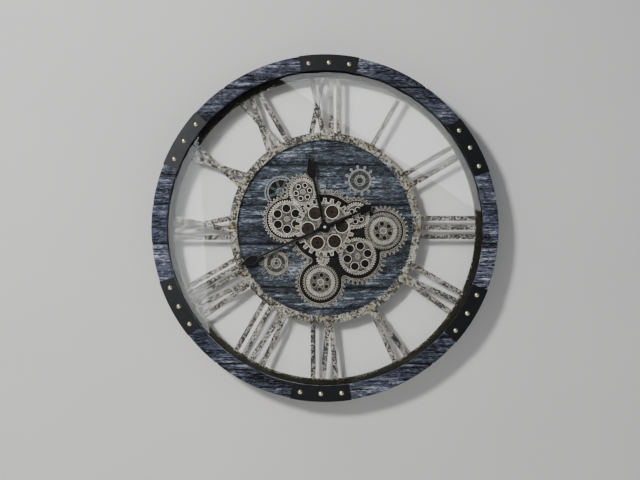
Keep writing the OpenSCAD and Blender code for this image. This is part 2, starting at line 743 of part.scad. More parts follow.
door_w = 58;
door_t = 0.9;
module door(y, h) {
    translate([-door_w / 2, y - h / 2, 0.05]) cube([door_w, h, door_t]);
    for (i = [-1:1]) translate([-door_w / 2 + 6 + 2.5 * i, y - 4, 0.05]) cube([1, 8, door_t + 0.3]);
}
cell_door_h = 18;
box_door_h = 33;
module battery_doors() color("dimgray") {
    door(movement_cell_y, cell_door_h);
    door(box_y, box_door_h);
}

door_travel = 56;
module door_pocket(y, h, window_h) {
    translate([-door_w / 2 - 0.3, y - h / 2 - 0.3, -1]) cube([door_w + door_travel + 0.6, h + 0.6, door_t + 1.4]);
    translate([-26, y - window_h / 2, -1]) cube([52, window_h, 4]);
}

module back_cover() color([0.15, 0.15, 0.15]) difference() {
    cylinder(r = drum_r, h = sheet);
    at(knob_at) hole(9, 0, sheet);
    door_pocket(movement_cell_y, cell_door_h, 2 * cell_r);
    door_pocket(box_y, box_door_h, 29);
    for (a = drum_screws) around(drum_r - 9, a) {
        hole(1.5 + slack, 0, sheet);
        translate([0, 0, -1]) cylinder(r = 3.2, h = 2.2, $fn = 32);
    }
}

// Screws of the glass clips, the ring, the dial board and the back cover
module case_screws() color("lightgray") {
    for (a = clip_angles) around(clip_screw_r, a) screw(case_depth - 3, 9, 3, 1.5);
    for (a = clip_angles) around(flange_screw_r, a + 15) screw(case_depth - sheet - 2, 13, 3, 2);
    for (a = drum_screws) around(drum_r - 9, a) {
        screw(board_z - sheet - 2, 7, 3, 2);
        screw(0, 4, 3, 1.1);
    }
}

// ---- Nodes ----

stand() front_ring();
stand() ring_straps();
stand() strap_rivets();
stand() glass_pane();
stand() glass_gasket();
stand() glass_clips();
stand() case_screws();
stand() rim_shell();
stand() rim_band();
for (h = [1:12]) stand() numeral(h);
stand() numeral_rivets();
stand() hub_bezel();
stand() hub_drum();
stand() dial_board();
stand() gear_tray();
stand() toothed_frame();
stand() star_wheel();
stand() window_wheel();
stand() spoked_ring();
stand() centre_gear();
stand() centre_arbor();
stand() drive_wheel();
stand() centre_bush();
stand() left_gear();
stand() top_gear();
stand() side_gear();
stand() right_gear();
stand() lower_gear();
stand() bottom_gear();
stand() idler_gear();
stand() gear_studs();
stand() bridge_plate();
stand() motor_body();
stand() motor_pinion();
stand() movement_case();
stand() movement_lid();
stand() movement_nut();
stand() circuit_board();
stand() step_motor();
stand() minute_arbor();
stand() hour_pipe();
stand() minute_wheel();
stand() setting_knob();
stand() hour_hand();
stand() minute_hand();
stand() battery_box();
stand() battery_cells();
stand() battery_doors();
stand() back_cover();
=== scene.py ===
import math

import bmesh
import bpy
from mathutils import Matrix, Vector


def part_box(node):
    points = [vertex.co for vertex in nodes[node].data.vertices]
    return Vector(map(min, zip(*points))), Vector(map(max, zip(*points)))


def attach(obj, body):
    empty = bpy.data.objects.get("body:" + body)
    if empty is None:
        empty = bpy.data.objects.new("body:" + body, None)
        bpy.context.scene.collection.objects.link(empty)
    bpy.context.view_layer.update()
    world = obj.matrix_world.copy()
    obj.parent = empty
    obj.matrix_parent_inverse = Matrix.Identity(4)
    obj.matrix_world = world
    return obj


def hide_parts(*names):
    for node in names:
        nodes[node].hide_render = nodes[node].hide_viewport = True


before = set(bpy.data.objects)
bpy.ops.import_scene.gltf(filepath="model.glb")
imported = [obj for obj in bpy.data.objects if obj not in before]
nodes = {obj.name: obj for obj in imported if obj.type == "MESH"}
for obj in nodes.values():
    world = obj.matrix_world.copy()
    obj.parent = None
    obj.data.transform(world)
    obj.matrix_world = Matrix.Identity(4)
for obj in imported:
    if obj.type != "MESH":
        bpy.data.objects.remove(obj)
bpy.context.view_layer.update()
scene = bpy.context.scene

MM = 0.001
# Joints between the planks of the ring and the dial: heights above the clock's middle, in metres
SEAMS = [0.368, 0.267, 0.168, 0.060, -0.044, -0.160, -0.257, -0.358]


# ---- Materials ----

def srgb(r, g, b):
    """A colour given as 0 to 255, as the linear colour that shaders take."""
    def one(v):
        v /= 255
        return v / 12.92 if v <= 0.04045 else ((v + 0.055) / 1.055) ** 2.4
    return (one(r), one(g), one(b), 1.0)


def darker(colour, share):
    """The colour at a share of its brightness."""
    return tuple(c * share for c in colour[:3]) + (1,)


class Shade:
    """A material with a Principled shader and short calls for its nodes."""

    def __init__(self, name, **sockets):
        self.material = bpy.data.materials.new(name)
        self.material.use_nodes = True
        self.tree = self.material.node_tree
        self.shader = self.tree.nodes["Principled BSDF"]
        for key, value in sockets.items():
            self.shader.inputs[key.replace("_", " ")].default_value = value
        self.place = self.tree.nodes.new("ShaderNodeTexCoord").outputs["Object"]

    def feed(self, socket, value):
        """Links another node's output to a socket, or sets the socket to a plain value."""
        if isinstance(value, bpy.types.NodeSocket):
            self.tree.links.new(value, socket)
        else:
            socket.default_value = value

    def node(self, kind, inputs=(), **props):
        n = self.tree.nodes.new("ShaderNode" + kind)
        for key, value in props.items():
            setattr(n, key, value)
        for key, value in dict(inputs).items():
            self.feed(n.inputs[key], value)
        return n

    def math(self, operation, a, b=0.0):
        return self.node("Math", {0: a, 1: b}, operation=operation).outputs[0]

    def plus(self, a, b):
        return self.math("ADD", a, b)

    def minus(self, a, b):
        return self.math("SUBTRACT", a, b)

    def times(self, a, b):
        return self.math("MULTIPLY", a, b)

    def stretched(self, scale, offset=(0.0, 0.0, 0.0)):
        """The object's own coordinates, scaled, with an offset that may come from a node."""
        return self.node("Mapping", {"Vector": self.place, "Scale": scale, "Location": offset}).outputs[0]

    def noise(self, place, scale, detail=4.0, roughness=0.55, distortion=0.0):
        return self.node("TexNoise", {"Vector": place, "Scale": scale, "Detail": detail,
                                      "Roughness": roughness, "Distortion": distortion}).outputs["Fac"]

    def ramp(self, value, *stops):
        """A colour ramp. A stop is (place, colour), where a plain number stands for a grey."""
        n = self.node("ValToRGB", {"Fac": value})
        ramp = n.color_ramp
        while len(ramp.elements) < len(stops):
            ramp.elements.new(0.5)
        for element, (at, colour) in zip(ramp.elements, stops):
            element.position = at
            element.color = colour if isinstance(colour, tuple) else (colour, colour, colour, 1)
        return n.outputs["Color"]

    def blend(self, factor, a, b, mode="MIX"):
        """Colour a where the factor is 0 and b where it is 1. Inputs 6 and 7 are the Mix node's colours."""
        n = self.node("Mix", {0: factor, 6: a, 7: b}, data_type="RGBA", blend_type=mode)
        return n.outputs[2]

    def axis(self, which):
        return self.node("SeparateXYZ", {"Vector": self.place}).outputs[which]

    def radius(self):
        """Distance from the hands' axis."""
        x, z = self.axis(0), self.axis(2)
        return self.math("SQRT", self.plus(self.times(x, x), self.times(z, z)))

    def between(self, value, low, high):
        """0 below low, 1 above high, and a straight line from one to the other."""
        return self.node("MapRange", {"Value": value, "From Min": low, "From Max": high}).outputs["Result"]

    def crevices(self, distance):
        """1 in corners and between teeth, 0 in the open."""
        n = self.node("AmbientOcclusion", {"Distance": distance}, samples=8)
        return self.minus(1.0, n.outputs["AO"])

    def edges(self, distance):
        """1 on outer edges and on what is thinner than the distance, 0 on the flats of thick pieces."""
        n = self.node("AmbientOcclusion", {"Distance": distance}, samples=8, inside=True, only_local=True)
        return self.minus(1.0, n.outputs["AO"])

    def set(self, socket, value):
        self.tree.links.new(value, self.shader.inputs[socket])

    def bump(self, height, strength, distance):
        n = self.node("Bump", {"Height": height, "Strength": strength, "Distance": distance})
        self.set("Normal", n.outputs["Normal"])


def wood(name, dark, mid, light, wear):
    """Weathered, painted planks: each plank has its own grain and tint, and the grain runs along X."""
    m = Shade(name, Specular_IOR_Level=0.12)
    plank = m.node("Attribute", attribute_name="plank").outputs["Fac"]
    own = m.node("TexWhiteNoise", {"W": plank}, noise_dimensions="1D")
    far_apart = {0: own.outputs["Color"], 1: (9.0, 9.0, 9.0)}
    shift = m.node("VectorMath", far_apart, operation="MULTIPLY").outputs[0]

    def streaks(scale, detail, roughness, distortion=0.0):
        """Noise that is the plank's own, stretched along the grain."""
        return m.noise(m.stretched(scale, shift), 1.0, detail, roughness, distortion)

    grain = streaks((26, 60, 125), 8.0, 0.78, 0.3)
    fibre = streaks((90, 300, 420), 5.0, 0.75)
    cloud = streaks((7, 14, 22), 4.0, 0.6)
    tone = m.plus(m.times(grain, 0.62), m.times(fibre, 0.38))
    tone = m.plus(tone, m.times(m.minus(cloud, 0.5), 0.4))
    colour = m.ramp(tone, (0.44, dark), (0.49, mid), (0.54, mid), (0.60, light))
    # 0 in a crack, 1 in sound wood
    sound = m.ramp(streaks((5, 50, 230), 5.0, 0.65, 0.3), (0.42, 0.0), (0.46, 1.0))
    colour = m.blend(sound, dark, colour)
    scratch = m.ramp(streaks((70, 120, 330), 7.0, 0.8), (0.52, 0.0), (0.64, 1.0))
    colour = m.blend(m.times(scratch, wear), colour, light)
    nick = m.ramp(streaks((90, 60, 34), 4.0, 0.7), (0.33, 1.0), (0.38, 0.0))
    colour = m.blend(m.times(nick, 0.8), colour, dark)
    cells = m.node("TexVoronoi", {"Vector": m.stretched((7, 10, 17), shift), "Scale": 1.0})
    knot = m.ramp(cells.outputs["Distance"], (0.05, 1.0), (0.20, 0.0))
    colour = m.blend(m.times(knot, 0.6), colour, dark)
    tint = m.ramp(own.outputs["Value"], (0.0, (0.60, 0.62, 0.66, 1)), (1.0, (1.1, 1.08, 1.08, 1)))
    colour = m.blend(1.0, colour, tint, "MULTIPLY")
    # Darker towards the top and bottom planks
    off_middle = m.minus(plank, len(SEAMS) / 2)
    weathered = m.minus(1.0, m.times(m.times(off_middle, off_middle), 0.024))
    colour = m.blend(1.0, colour, m.ramp(weathered, (0.0, 0.0), (1.0, 1.0)), "MULTIPLY")
    seam = m.node("Attribute", attribute_name="seam").outputs["Fac"]
    colour = m.blend(m.times(seam, 0.93), colour, (0.003, 0.004, 0.006, 1))
    m.set("Base Color", colour)
    rough = m.node("MapRange", {"Value": tone, "To Min": 0.62, "To Max": 0.86})
    m.set("Roughness", rough.outputs["Result"])
    height = m.plus(m.times(grain, 0.6), m.times(fibre, 0.3))
    m.bump(m.plus(height, m.times(sound, 0.6)), 0.8, 0.002)
    return m.material


def distressed(name, base, shade, speckle, gold, near, far):
    """Old silver leaf, flaked to black, with an olive tarnish that fades out from radius near to far."""
    m = Shade(name, Metallic=0.2, Specular_IOR_Level=0.2)
    mottle = m.noise(m.place, 60, 5.0, 0.7)
    colour = m.blend(m.ramp(mottle, (0.42, 0.0), (0.6, 1.0)), shade, base)
    tarnish = m.ramp(m.noise(m.place, 75, 4.0, 0.7), (0.53, 0.0), (0.62, 1.0))
    inward = m.minus(1.0, m.between(m.radius(), near, far))
    colour = m.blend(m.times(m.times(tarnish, inward), 0.7), colour, gold)
    flake = m.noise(m.place, 190, 4.0, 0.75, 0.4)
    patch = m.noise(m.place, 24, 3.0, 0.55)
    level = m.plus(flake, m.times(m.minus(patch, 0.5), 0.35))
    flaked = m.between(level, 0.455, 0.525)
    colour = m.blend(m.times(flaked, 0.95), colour, speckle)
    m.set("Base Color", colour)
    m.set("Roughness", m.plus(0.4, m.times(flaked, 0.3)))
    m.bump(m.minus(m.times(mottle, 0.3), flaked), 0.5, 0.0007)
    return m.material


def antique(name, base, patina_shade_colour, roughness=0.36, depth=0.007, grit=0.35, sunk=()):
    """Cast silver: rubbed bright along its edges and teeth, mottled and dull on its flats, with a dark
    patina and painted shade in its corners and in what is sunk. Sunk lists bands of height above the
    wall, as (from, to, share): the heights are in millimetres, and a larger share leaves more of the
    patina and painted shade."""
    m = Shade(name, Specular_IOR_Level=0.12)
    cast = m.noise(m.place, 330, 4.0, 0.65)
    mottle = m.noise(m.place, 170, 5.0, 0.75)
    grain = m.times(m.minus(cast, 0.5), 0.7)
    rubbed = m.between(m.plus(m.edges(0.0019), grain), 0.08, 0.36)
    patches = m.ramp(mottle, (0.42, 0.0), (0.58, 1.0))
    dull = m.blend(patches, darker(base, 0.06), darker(base, 0.46))
    colour = m.blend(rubbed, dull, base)
    # Dark patina and painted shade in corners and between teeth
    patina_and_shade = m.between(m.plus(m.crevices(depth), grain), 0.12, 0.38)
    height = m.times(m.axis(1), -1 / MM)
    # Painted shade, together with the dark patina, on the bands of height that are sunk
    for low, high, share in sunk:
        inside = m.times(m.math("GREATER_THAN", height, low), m.math("LESS_THAN", height, high))
        kept = m.times(inside, m.between(m.plus(grain, share), 0.0, 1.0))
        patina_and_shade = m.math("MAXIMUM", patina_and_shade, kept)
    colour = m.blend(m.times(patina_and_shade, 0.96), colour, patina_shade_colour)
    m.set("Base Color", colour)
    m.set("Metallic", m.minus(0.6, m.times(patina_and_shade, 0.5)))
    dulled = m.times(m.minus(1.0, rubbed), 0.2)
    m.set("Roughness", m.plus(roughness - 0.04, m.plus(dulled, m.times(patina_and_shade, 0.25))))
    m.bump(cast, grit, 0.0005)
    return m.material


def metal(name, colour, roughness=0.3, metallic=1.0, wear=None, grain=(60, 60, 60), bump=0.12, sheen=0.5):
    """Plain metal with uneven polish, and wear to another colour where it is given."""
    m = Shade(name, Metallic=metallic, Specular_IOR_Level=sheen)
    uneven = m.noise(m.stretched(grain), 1.0, 5.0, 0.6)
    fine = m.noise(m.place, 420, 3.0, 0.6)
    shaded = m.blend(m.times(uneven, 0.5), colour, darker(colour, 0.6))
    if wear is not None:
        rubbed = m.ramp(m.noise(m.place, 95, 6.0, 0.7), (0.60, 0.0), (0.70, 1.0))
        shaded = m.blend(m.times(rubbed, 0.55), shaded, wear)
    m.set("Base Color", shaded)
    m.set("Roughness", m.plus(roughness - 0.09, m.times(uneven, 0.2)))
    m.bump(m.plus(fine, uneven), bump, 0.0005)
    return m.material


def plastic(name, colour, roughness=0.5):
    """Moulded plastic or rubber with a fine grain."""
    m = Shade(name)
    fine = m.noise(m.place, 900, 3.0, 0.5)
    wide = m.noise(m.place, 30, 3.0, 0.5)
    m.set("Base Color", m.blend(m.times(wide, 0.6), colour, darker(colour, 0.6)))
    m.set("Roughness", m.plus(roughness - 0.08, m.times(wide, 0.16)))
    m.bump(fine, 0.2, 0.0003)
    return m.material


def cell_jacket(name):
    """A dry cell: a printed jacket with a band, and bare steel at the ends."""
    steel_from = 0.0238
    band_from = 0.010
    m = Shade(name)
    x = m.axis(0)
    end = m.math("GREATER_THAN", m.math("ABSOLUTE", x), steel_from)
    band = m.math("GREATER_THAN", x, band_from)
    scuff = m.noise(m.place, 220, 4.0, 0.6)
    colour = m.blend(band, srgb(32, 58, 50), srgb(176, 132, 70))
    colour = m.blend(m.times(scuff, 0.35), colour, srgb(20, 24, 22))
    m.set("Base Color", m.blend(end, colour, srgb(196, 196, 192)))
    m.set("Metallic", end)
    m.set("Roughness", m.plus(0.24, m.times(scuff, 0.2)))
    m.bump(scuff, 0.08, 0.0003)
    return m.material


def circuit(name):
    """Green lacquer over copper tracks, with a black chip standing on it."""
    board_front = -0.01405
    m = Shade(name)
    tracks = m.node("TexBrick", {"Vector": m.place, "Scale": 420.0, "Mortar Size": 0.03,
                                 "Color1": srgb(20, 92, 52), "Color2": srgb(26, 110, 62),
                                 "Mortar": srgb(120, 150, 80)}).outputs["Color"]
    chip = m.math("LESS_THAN", m.axis(1), board_front)
    m.set("Base Color", m.blend(chip, tracks, srgb(26, 26, 28)))
    m.set("Roughness", m.plus(0.28, m.times(m.noise(m.place, 300), 0.25)))
    return m.material


def pane(name):
    """Clear glass with a faint, uneven tint. Its low index keeps its reflections weak."""
    m = Shade(name, Roughness=0.0, IOR=1.25, Transmission_Weight=1.0)
    smear = m.noise(m.place, 3.0, 4.0, 0.6)
    m.set("Base Color", m.ramp(smear, (0.3, (0.93, 0.94, 0.937, 1)), (0.7, (0.955, 0.96, 0.958, 1))))
    return m.material


def band_leaf(name):
    """Leaf on the rim band: black patina that breaks up towards the band's inner edge, and painted
    shade of the front ring, which darkens the band towards its outer edge.
    """
    m = Shade(name, Metallic=0.15, Specular_IOR_Level=0.15)
    coarse = m.noise(m.place, 230, 3.0, 0.75, 0.3)
    cloud = m.noise(m.place, 16, 3.0, 0.6)
    # Painted shade of the front ring, growing towards the band's outer edge
    front_ring_shade = m.between(m.radius(), 0.398, 0.411)
    uneven = m.plus(m.times(front_ring_shade, 0.34), m.times(m.minus(cloud, 0.5), 0.3))
    # Black where the noise is high, and more of it where the painted shade lies
    cover = m.plus(coarse, uneven)
    stain = m.ramp(m.noise(m.place, 90, 4.0, 0.6), (0.4, 0.0), (0.62, 1.0))
    ground = m.blend(stain, srgb(104, 102, 82), srgb(176, 173, 160))
    dust = m.ramp(m.noise(m.place, 300, 3.0, 0.6), (0.45, 0.0), (0.65, 1.0))
    black = m.blend(dust, srgb(6, 7, 5), srgb(40, 41, 30))
    m.set("Base Color", m.blend(m.between(cover, 0.50, 0.60), ground, black))
    m.set("Roughness", m.plus(0.42, m.times(coarse, 0.3)))
    m.bump(coarse, 0.4, 0.0006)
    return m.material


SILVER = srgb(166, 166, 160)
CAST = srgb(212, 208, 196)
# Colour of the dark patina and the painted shade on cast silver
PATINA_SHADE = srgb(5, 4, 3)
ring_wood = wood("ring_wood", srgb(6, 7, 12), srgb(72, 79, 97), srgb(184, 188, 204), wear=0.5)
dial_wood = wood("dial_wood", srgb(3, 4, 7), srgb(44, 52, 63), srgb(150, 158, 170), wear=0.42)
numeral_leaf = distressed("numeral_leaf", SILVER, srgb(128, 126, 122), srgb(17, 16, 15),
                          srgb(150, 136, 74), near=0.262, far=0.330)
bezel_leaf = distressed("bezel_leaf", SILVER, srgb(124, 123, 115), srgb(22, 21, 18),
                        srgb(146, 132, 78), near=0.30, far=0.40)
# The sunk bands below get painted shade on the cast silver, along with its dark patina
gear_silver = antique("gear_silver", CAST, PATINA_SHADE, sunk=((0, 38.9, 1.0), (38.9, 39.9, 0.66)))
double_silver = antique("double_silver", CAST, PATINA_SHADE,
                        sunk=((0, 38.9, 1.0), (38.9, 40.7, 0.6), (41.2, 42.1, 0.66)))

FINISH = {
    "ring_straps": metal("strap_steel", srgb(13, 16, 22), 0.46, 0.5, srgb(34, 38, 46), bump=0.35),
    "strap_rivets": metal("rivet_brass", srgb(222, 216, 184), 0.24),
    "glass_pane": pane("clear_glass"),
    "glass_gasket": plastic("gasket_rubber", srgb(24, 24, 24), 0.7),
    "glass_clips": metal("clip_zinc", srgb(190, 190, 190), 0.34),
    "case_screws": metal("screw_zinc", srgb(176, 176, 174)),
    "rim_shell": metal("shell_paint", srgb(40, 40, 43), 0.45, 0.2, srgb(66, 66, 68), bump=0.3),
    "rim_band": band_leaf("band_leaf"),
    "numeral_rivets": metal("hub_rivet_brass", srgb(158, 138, 92), 0.38, 0.8, srgb(60, 50, 30)),
    "hub_bezel": bezel_leaf,
    "hub_drum": metal("drum_paint", srgb(28, 28, 30), 0.48, 0.2, bump=0.3),
    "gear_tray": metal("tray_paint", srgb(9, 8, 7), 0.65, 0.0, srgb(34, 30, 24), bump=0.5, sheen=0.08),
    "toothed_frame": antique("frame_silver", srgb(164, 160, 148), PATINA_SHADE, 0.42, 0.009, 0.5,
                             sunk=((0, 37.7, 1.05),)),
    "star_wheel": antique("star_silver", srgb(170, 174, 172), srgb(4, 4, 4),
                          sunk=((0, 36.5, 1.1), (36.5, 37.2, 0.72))),
    "window_wheel": antique("window_silver", srgb(172, 171, 162), srgb(4, 4, 3),
                            sunk=((0, 36.6, 1.1), (36.6, 37.2, 0.5))),
    "spoked_ring": antique("spoked_silver", srgb(140, 148, 152), srgb(3, 4, 5),
                           sunk=((0, 35.7, 0.9), (35.7, 36.2, 0.7))),
    "centre_gear": antique("centre_silver", srgb(214, 209, 196), PATINA_SHADE, sunk=((0, 45.4, 0.58),)),
    "centre_arbor": antique("arbor_silver", srgb(60, 54, 46), srgb(4, 3, 2), sunk=((0, 40.45, 0.9),)),
    "drive_wheel": metal("drive_brass", srgb(206, 172, 96), 0.26),
    "centre_bush": metal("bush_brass", srgb(196, 160, 88)),
    "gear_studs": metal("stud_steel", srgb(226, 224, 216), 0.2, wear=srgb(120, 116, 104)),
    "bridge_plate": metal("bridge_steel", srgb(172, 174, 176), 0.34, grain=(12, 300, 300)),
    "motor_body": metal("motor_steel", srgb(150, 152, 156), 0.36, grain=(200, 60, 60)),
    "motor_pinion": metal("pinion_brass", srgb(206, 172, 96), 0.26),
    "movement_case": plastic("case_plastic", srgb(26, 26, 28)),
    "movement_lid": plastic("lid_plastic", srgb(30, 30, 32), 0.55),
    "movement_nut": metal("nut_brass", srgb(206, 176, 104), 0.24),
    "circuit_board": circuit("board_lacquer"),
    "step_motor": metal("motor_copper", srgb(190, 104, 62)),
    "minute_arbor": metal("arbor_brass", srgb(206, 176, 104), 0.24),
    "hour_pipe": metal("pipe_brass", srgb(200, 168, 96), 0.26),
    "minute_wheel": metal("wheel_brass", srgb(200, 168, 96), 0.26),
    "setting_knob": plastic("knob_plastic", srgb(34, 34, 36), 0.45),
    "hour_hand": metal("hour_black", srgb(8, 8, 9), 0.55, 0.0, bump=0.06, sheen=0.05),
    "minute_hand": metal("minute_black", srgb(8, 8, 9), 0.55, 0.0, bump=0.06, sheen=0.05),
    "battery_box": plastic("box_plastic", srgb(24, 24, 26)),
    "battery_cells": cell_jacket("cell_jacket"),
    "battery_doors": plastic("door_plastic", srgb(24, 24, 26)),
    "back_cover": metal("cover_paint", srgb(58, 58, 61), 0.5, 0.2, srgb(84, 84, 86), bump=0.3),
}
for hour in range(1, 13):
    FINISH[f"numeral_{hour}"] = numeral_leaf
for gear in ("left_gear", "top_gear", "side_gear", "lower_gear", "idler_gear"):
    FINISH[gear] = gear_silver
for gear in ("right_gear", "bottom_gear"):
    FINISH[gear] = double_silver

for name, material in FINISH.items():
    nodes[name].data.materials.clear()
    nodes[name].data.materials.append(material)


# ---- What the pieces share ----

def spot(radius, angle, height):
    """A point by radius, clockwise angle from twelve and height above the wall, in mm and degrees."""
    a = math.radians(angle)
    return Vector((radius * math.sin(a), -height, radius * math.cos(a))) * MM


def spread(a, b, n):
    """n + 1 numbers from a to b, evenly apart."""
    return [a + (b - a) * i / n for i in range(n + 1)]


def front_of(node):
    """Height of a CAD node's front above the wall, in mm."""
    return -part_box(node)[0][1] / MM


def back_of(node):
    """Height of a CAD node's back above the wall, in mm."""
    return -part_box(node)[1][1] / MM


def radius_of(node):
    """Radius of a round CAD node on the clock's axis, in mm."""
    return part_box(node)[1][0] / MM


def turned(profile, turns, middle=(0, 0, 0)):
    """A bmesh of a closed profile of (radius, height) points in mm, turned about the line that stands
    on the wall at middle."""
    bm = bmesh.new()
    rows = [[bm.verts.new(Vector(middle) + spot(r, 360 * i / turns, h)) for r, h in profile]
            for i in range(turns)]
    for i, here in enumerate(rows):
        there = rows[(i + 1) % turns]
        for j in range(len(profile)):
            k = (j + 1) % len(profile)
            bm.faces.new((here[j], here[k], there[k], there[j]))
    return bm


def finished(bm, name):
    """The mesh of a bmesh, with its faces turned outwards."""
    bmesh.ops.recalc_face_normals(bm, faces=bm.faces)
    mesh = bpy.data.meshes.new(name)
    bm.to_mesh(mesh)
    bm.free()
    return mesh


def wire(name, points, radius, resolution, closed=False):
    """A curve of round wire through points in metres, with its radius in mm."""
    curve = bpy.data.curves.new(name, "CURVE")
    curve.dimensions = "3D"
    curve.bevel_depth = radius * MM
    curve.bevel_resolution = resolution
    curve.use_fill_caps = not closed
    spline = curve.splines.new("POLY")
    spline.points.add(len(points) - 1)
    spline.use_cyclic_u = closed
    for p, place in zip(spline.points, points):
        p.co = (*place, 1)
    return curve


def piece(name, data, body, material, smooth=True):
    """Adds a mesh or a curve as a piece that rides on a CAD body."""
    obj = bpy.data.objects.new(name, data)
    scene.collection.objects.link(obj)
    data.materials.append(material)
    for face in getattr(data, "polygons", ()):
        face.use_smooth = smooth
    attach(obj, body)
    return obj


# ---- Planked ring and dial ----

# Depth of a joint and the unevenness of the front face, in mm
JOINT_DEPTH = 3
UNEVEN = 0.25
# Shares of a joint's half width: an inner cut, the limit of what is sunk, and the limit of its shade
INNER_CUT = 0.35
SUNK_TO = 0.4
SHADE_TO = 1.1


def planked(name, profile, front, turns, half_width):
    """A turned profile whose front face is uneven and has the joints between planks cut into it. Each
    point's attributes hold the number of its plank and how much of a joint's shade lies on it."""
    bm = turned(profile, turns)
    half = half_width * MM
    for seam in SEAMS:
        for offset in (-half, -half * INNER_CUT, half * INNER_CUT, half):
            bmesh.ops.bisect_plane(bm, geom=bm.verts[:] + bm.edges[:] + bm.faces[:], dist=1e-7,
                                   plane_co=(0, 0, seam + offset), plane_no=(0, 0, 1))
    outer = max(r for r, h in profile) * MM
    planks, shades = [], []
    for v in bm.verts:
        away = min(abs(v.co.z - s) for s in SEAMS)
        cut = away < half * SUNK_TO
        radius = math.hypot(v.co.x, v.co.z)
        if -v.co.y > (front - 0.3) * MM:
            wave = 0.5 + 0.5 * math.sin(v.co.x * 61 + v.co.z * 900) * math.sin(v.co.x * 23)
            v.co.y += MM * (JOINT_DEPTH if cut else wave * UNEVEN)
        if cut and radius > outer - 1.6 * MM:
            nick = 1 - 0.6 * JOINT_DEPTH * MM / radius
            v.co.x *= nick
            v.co.z *= nick
        planks.append(float(sum(v.co.z > s for s in SEAMS)))
        shades.append(1.0 if cut else 0.35 if away < half * SHADE_TO else 0.0)
    mesh = finished(bm, name)
    for key, values in (("plank", planks), ("seam", shades)):
        mesh.attributes.new(key, "FLOAT", "POINT").data.foreach_set("value", values)
    return mesh


RING_WIDTH = 40
outer = radius_of("front_ring")
inner = outer - RING_WIDTH
back, front = back_of("front_ring"), front_of("front_ring")
# The glass lies in a rebate, with 1 mm round it and the gasket's 1 mm in front of it
rebate, seat = radius_of("glass_pane") + 1, front_of("glass_pane") + 1
profile = ([(rebate, back), (rebate, seat), (inner, seat), (inner, front - 1.5), (inner + 0.5, front - 0.5)]
           + [(r, front) for r in spread(inner + 1.5, outer - 1.5, 10)]
           + [(outer - 0.5, front - 0.5), (outer, front - 1.5), (outer, back + 1), (outer - 1, back)])
ring = piece("wooden_ring", planked("wooden_ring", profile, front, 540, 3.4), "clock_case", ring_wood)
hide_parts("front_ring")

BORE = 12.05
CHAMFER = 0.8
outer = radius_of("dial_board")
back, front = back_of("dial_board"), front_of("dial_board")
profile = ([(BORE, back), (BORE, front)] + [(r, front) for r in spread(30, outer - CHAMFER, 12)]
           + [(outer, front - CHAMFER), (outer, back)])
board = piece("dial_planks", planked("dial_planks", profile, front, 360, 3.6), "clock_case", dial_wood)
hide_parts("dial_board")


# ---- Hands ----

HAND_THICKNESS = 1.2
LINE_RADIUS = 0.4
# The line starts this far from the axis, and stays this far inside the outline and the tip
LINE_START = 22
LINE_INSET = 0.7
TIP_INSET = 1.5


def leaf(t, widest=0.26):
    """Half width of a hand's leaf from its base (0) to its tip (1), as a share of the greatest."""
    if t < widest:
        return math.sin(math.pi / 2 * t / widest) ** 0.8
    return ((1 + math.cos(math.pi * (t - widest) / (1 - widest))) / 2) ** 1.4


def hand_edge(node, body, turn, length, leaf_start, leaf_width, rod_width):
    """A fine bright line just inside the outline of a hand's leaf and rod."""
    start = leaf_start * length
    side = [(rod_width / 2 + 0.1, LINE_START)]
    for t in spread(0, 1, 40):
        half = max(leaf(t) * leaf_width / 2, (1 - t) * rod_width / 2) - LINE_INSET
        side.append((max(half, 0.05), start + (length - TIP_INSET - start) * t))
    outline = side + [(-x, y) for x, y in reversed(side)]
    height = back_of(node) + HAND_THICKNESS + 0.05
    a = math.radians(turn)
    points = [Vector((x * math.cos(a) + y * math.sin(a), -height, y * math.cos(a) - x * math.sin(a))) * MM
              for x, y in outline]
    name = f"{node}_edge"
    obj = piece(name, wire(name, points, LINE_RADIUS, 1, closed=True), body, edge_grey)


edge_grey = metal("hand_edge_grey", srgb(96, 96, 94))
hand_edge("hour_hand", "hour_shaft", turn=347, length=215, leaf_start=0.6, leaf_width=27, rod_width=7)
hand_edge("minute_hand", "minute_shaft", turn=245.8, length=264, leaf_start=0.73, leaf_width=24.5,
          rod_width=6)

# Flattened cap on the minute hand's boss
CAP_RADIUS = 3.4
CAP_FLATNESS = 0.6
base = front_of("minute_hand") - 0.1
bm = bmesh.new()
bmesh.ops.create_uvsphere(bm, u_segments=32, v_segments=12, radius=CAP_RADIUS * MM)
bmesh.ops.delete(bm, geom=[v for v in bm.verts if v.co.z < -1e-6], context="VERTS")
bmesh.ops.holes_fill(bm, edges=[e for e in bm.edges if e.is_boundary])
for v in bm.verts:
    v.co = (v.co.x, -base * MM - v.co.z * CAP_FLATNESS, v.co.y)
cap = piece("hand_cap", finished(bm, "hand_cap"), "minute_shaft",
            metal("cap_steel", srgb(246, 244, 236), 0.3, 0.5))


# ---- Details behind the gears and in the movement ----

HOLES = 6
HOLE_RING = 45.4
HOLE_TURN = 25.5
RIBS = 16
# A rib's radius and half width, at its inner and its outer end
RIB = ((4, 0.35), (17.5, 1.1))


